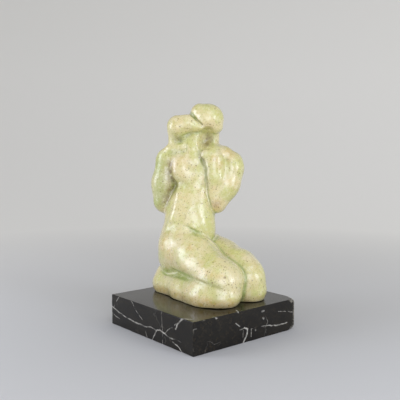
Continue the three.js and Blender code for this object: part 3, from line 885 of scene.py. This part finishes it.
WARM = [
    (0.8, 6, (19, 1, 120)),
    (0.6, 5, (15, 1, 165), (20, -1, 159)),
    (0.5, 8, (33.5, 0, 172.6)),
    (0.55, 8, (-23, 31, 89), (-27, 28, 80), (-27, 21, 71)),
    (0.7, 3, (-20.4, -5.3, 82.3)),
    (0.8, 7, (-24, 43, 34), (-28, 3, 36), (-32, -34, 35), (-25, -47, 34), (-13, -54, 34)),
    (0.4, 8, (-6.6, 31, 164.6), (-2.6, 24.6, 162.6)),
    (0.7, 6, (21, -45, 32)),
    (0.5, 4, (-27, -28, 62), (-24, -41, 61), (-18, -49, 59)),
    (0.5, 7, (22.5, -46, 58.6)),
    (0.3, 6, (-2, 22, 199)),
]


def patches(points, spots):
    """How strongly the patches cover each point."""
    amount = np.zeros(len(points))
    for strength, width, *places in spots:
        amount = np.maximum(amount, strength * np.exp(-(away_from(points, *places) / width) ** 2))
    return amount


def make_woman():
    points, faces = skin(fine_woman, SKIN_CELL)
    piece = mesh_object("kneeling_woman_skin", (points * MM).tolist(), faces.tolist(),
                        glaze_material())
    slope = slope_of(woman, points)
    normals = slope / np.maximum(np.linalg.norm(slope, axis=1), TINY)[:, None]
    mesh = piece.data
    add_value(mesh, "hollow", hollowness(fine_woman, points, normals))
    add_value(mesh, "edge", sharpness(woman, points, normals))
    add_value(mesh, "stain_and_shade", patches(points, BROWN_STAIN_AND_SHADE))
    add_value(mesh, "green_tint_and_shade", patches(points, GREEN_TINT_AND_SHADE))
    add_value(mesh, "warm_tint", patches(points, WARM))
    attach(piece, "root")
    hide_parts("kneeling_woman")


# Nicks of the slab's edges: where, how far along the edge, and how rounded
NICKS = [
    ((-54, FRONT, TOP), 2.2, 1.5), ((-39.5, FRONT, TOP), 1.8, 1.9), ((-13, FRONT, TOP), 1.8, 1.8),
    ((LEFT, -20, TOP), 1.4, 1.1), ((LEFT, 51.5, TOP), 1.6, 1.2), ((LEFT, -50, TOP), 1.6, 1.3),
    ((LEFT, 60, TOP), 4, 0.8), ((LEFT, FRONT, 22), 3, 1.2), ((LEFT, FRONT, 6), 3, 1.0),
    ((-30, BACK, TOP), 2, 1.4), ((40, BACK, BOTTOM), 3, 1.5), ((RIGHT, 10, TOP), 2, 1.3),
]

# Rounding of the other edges, and of the worn corner at her front and left, with its reach
EDGE_ROUND = 0.55
EDGE_WAVE = 0.1
WAVE_LENGTHS = (23, 11, 6, 3.5)
CORNER_ROUND = 4.6
CORNER_REACH = 9
# Edges rounded by more than this look bare.
BARE_FROM = 0.75

# Places of the slab's grid, counted in from each edge, and the step between them further in
EDGE_PLACES = np.array([0, 0.35, 0.7, 1.1, 1.6, 2.2, 3.0, 4.0, 5.2])
MIDDLE_STEP = 1.7


def wear(q):
    """How rounded the slab's edges are near each place, in millimetres."""
    rng = np.random.default_rng(11)
    wave = np.zeros(len(q))
    for length in WAVE_LENGTHS:
        way = rng.normal(size=3)
        way = way * 2 * math.pi / (length * np.linalg.norm(way))
        wave += np.sin(q @ way + rng.uniform(0, 6))
    amount = EDGE_ROUND + EDGE_WAVE * wave
    for place, far, size in NICKS:
        away = np.linalg.norm(q - np.asarray(place, float), axis=1)
        amount = np.maximum(amount, size * np.exp(-(away / far) ** 2))
    corner = np.hypot(q[:, 0] - RIGHT, q[:, 1] - FRONT)
    return np.maximum(amount, CORNER_ROUND * np.exp(-(corner / CORNER_REACH) ** 4))


def edge_spacing(low, high):
    """Places from low to high, crowded near both ends where the stone is rounded."""
    last = EDGE_PLACES[-1]
    steps = max(2, round((high - low - 2 * last) / MIDDLE_STEP))
    middle = np.linspace(low + last, high - last, steps + 1)
    return np.concatenate([low + EDGE_PLACES[:-1], middle, high - EDGE_PLACES[-2::-1]])


def slab_face(axis, side):
    """A grid of places over one face of the sharp slab, facing outwards."""
    u, v = (axis + 1) % 3, (axis + 2) % 3
    us, vs = edge_spacing(*SLAB_SIZES[u]), edge_spacing(*SLAB_SIZES[v])
    grid = np.zeros((len(us), len(vs), 3))
    grid[..., axis] = SLAB_SIZES[axis][side]
    grid[..., u] = us[:, None]
    grid[..., v] = vs[None, :]
    number = np.arange(len(us) * len(vs)).reshape(len(us), len(vs))
    quads = np.stack([number[:-1, :-1], number[1:, :-1], number[1:, 1:], number[:-1, 1:]], -1)
    quads = quads.reshape(-1, 4)
    return grid.reshape(-1, 3), quads if side else quads[:, ::-1]


def slab_skin():
    """The slab with rounded edges: its points, its faces, how bare each point is, and the
    number of the side that each face belongs to."""
    places, quads, owners, count = [], [], [], 0
    for number, (axis, side) in enumerate(SLAB_FACES):
        grid, faces = slab_face(axis, side)
        places.append(grid)
        quads.append(faces + count)
        owners += [number] * len(faces)
        count += len(grid)
    sharp, faces = np.concatenate(places), np.concatenate(quads)
    _, first, same = np.unique(np.round(sharp, 3), axis=0, return_index=True, return_inverse=True)
    sharp, faces = sharp[first], same.reshape(-1)[faces]
    radius = wear(sharp)[:, None]
    low = np.array([size[0] for size in SLAB_SIZES]) + radius
    high = np.array([size[1] for size in SLAB_SIZES]) - radius
    core = np.clip(sharp, low, high)
    out = sharp - core
    rounded = core + out / np.linalg.norm(out, axis=1)[:, None] * radius
    on_edge = np.count_nonzero(np.abs(out) > TINY, axis=1) > 1
    bared = on_edge * np.clip(radius[:, 0] - BARE_FROM, 0, 1)
    return rounded, faces, bared, owners


def make_plinth():
    points, faces, bared, owners = slab_skin()
    stones = [marble_material(axis, SLAB_SIZES[axis][side]) for axis, side in SLAB_FACES]
    piece = mesh_object("marble_slab", (points * MM).tolist(), faces.tolist(), *stones)
    piece.data.polygons.foreach_set("material_index", owners)
    add_value(piece.data, "worn", bared)
    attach(piece, "root")
    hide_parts("marble_plinth")


# Studio, in metres. The floor bends up into a wall that leans outwards.
FLOOR_RADIUS = 0.8
BEND_RADIUS = 0.8
BEND_STEPS = 16
WALL_LEAN = math.radians(62)
WALL_LENGTH = 0.6
ROUND_STEPS = 96

# The paper's own light grows from GLOW_START to GLOW_END, counted from the middle of the floor,
# and is a little stronger to the camera's right.
GLOW = 0.27
GLOW_START = 0.05
GLOW_END = 0.8
GLOW_ACROSS = 0.05
CAMERA_RIGHT = (0.77, -0.64, 0.0)


def backdrop_material():
    """Pale paper with a little light of its own, which grows away from the middle."""
    material, n = new_material("pale_paper")
    place = n.place()
    away = n.vector("LENGTH", place).outputs["Value"]
    across = n.vector("DOT_PRODUCT", place, CAMERA_RIGHT).outputs["Value"]
    grown = n.ramp(away, GLOW_START, GLOW_END, smooth=False)
    glow = n.math("MULTIPLY_ADD", across, GLOW_ACROSS, GLOW)
    n.finish({
        "Base Color": PAPER,
        "Roughness": 0.95,
        "Emission Color": PAPER_GLOW,
        "Emission Strength": n.math("MULTIPLY", grown, glow),
    })
    return material


def backdrop_profile():
    """The backdrop's distances from the middle, each with its height."""
    profile = [(0.0, 0.0), (FLOOR_RADIUS, 0.0)]
    for i in range(1, BEND_STEPS + 1):
        angle = WALL_LEAN * i / BEND_STEPS
        radius = FLOOR_RADIUS + BEND_RADIUS * math.sin(angle)
        height = BEND_RADIUS - BEND_RADIUS * math.cos(angle)
        profile.append((radius, height))
    radius += WALL_LENGTH * math.cos(WALL_LEAN)
    height += WALL_LENGTH * math.sin(WALL_LEAN)
    return profile + [(radius, height)]


def make_backdrop():
    """A round pale floor that sweeps up to a leaning wall all round."""
    profile = backdrop_profile()
    points, faces = [(0.0, 0.0, 0.0)], []
    for radius, height in profile[1:]:
        for i in range(ROUND_STEPS):
            angle = 2 * math.pi * i / ROUND_STEPS
            points.append((radius * math.cos(angle), radius * math.sin(angle), height))
    for i in range(ROUND_STEPS):
        faces.append((0, 1 + i, 1 + (i + 1) % ROUND_STEPS))
    for ring in range(len(profile) - 2):
        low, high = 1 + ring * ROUND_STEPS, 1 + (ring + 1) * ROUND_STEPS
        for i in range(ROUND_STEPS):
            j = (i + 1) % ROUND_STEPS
            faces.append((low + i, high + i, high + j, low + j))
    backdrop = mesh_object("backdrop", points, faces, backdrop_material())


def aim(thing, way):
    """Points a light or a camera along a direction."""
    thing.rotation_mode = "QUATERNION"
    thing.rotation_quaternion = way.to_track_quat("-Z", "Y")


def add_light(name, turn, height, away, size, power):
    """A soft rectangular light, aimed at her middle."""
    data = bpy.data.lights.new(name, "AREA")
    data.shape = "RECTANGLE"
    data.size, data.size_y = size
    data.energy = power
    data.color = COOL
    light = bpy.data.objects.new(name, data)
    bpy.context.collection.objects.link(light)
    a, e = math.radians(CAMERA_SIDE + turn), math.radians(height)
    back = Vector((math.sin(a) * math.cos(e), -math.cos(a) * math.cos(e), math.sin(e)))
    light.location = Vector(LIGHT_AIM) + back * away
    aim(light, -back)
    light.visible_camera = False


def make_lights():
    for light in LIGHTS:
        add_light(*light)
    world = bpy.data.worlds.new("studio")
    world.use_nodes = True
    background = world.node_tree.nodes["Background"]
    background.inputs["Color"].default_value = (1.0, 1.0, 1.0, 1.0)
    background.inputs["Strength"].default_value = WORLD_STRENGTH
    bpy.context.scene.world = world


def make_camera():
    data = bpy.data.cameras.new("camera")
    data.lens = CAMERA_LENS
    data.sensor_width = SENSOR_WIDTH
    camera = bpy.data.objects.new("camera", data)
    bpy.context.collection.objects.link(camera)
    camera.location = CAMERA_PLACE
    aim(camera, Vector(CAMERA_AIM) - camera.location)
    bpy.context.scene.camera = camera


bpy.context.scene.view_settings.view_transform = "Standard"
make_camera()
make_woman()
make_plinth()
make_backdrop()
make_lights()
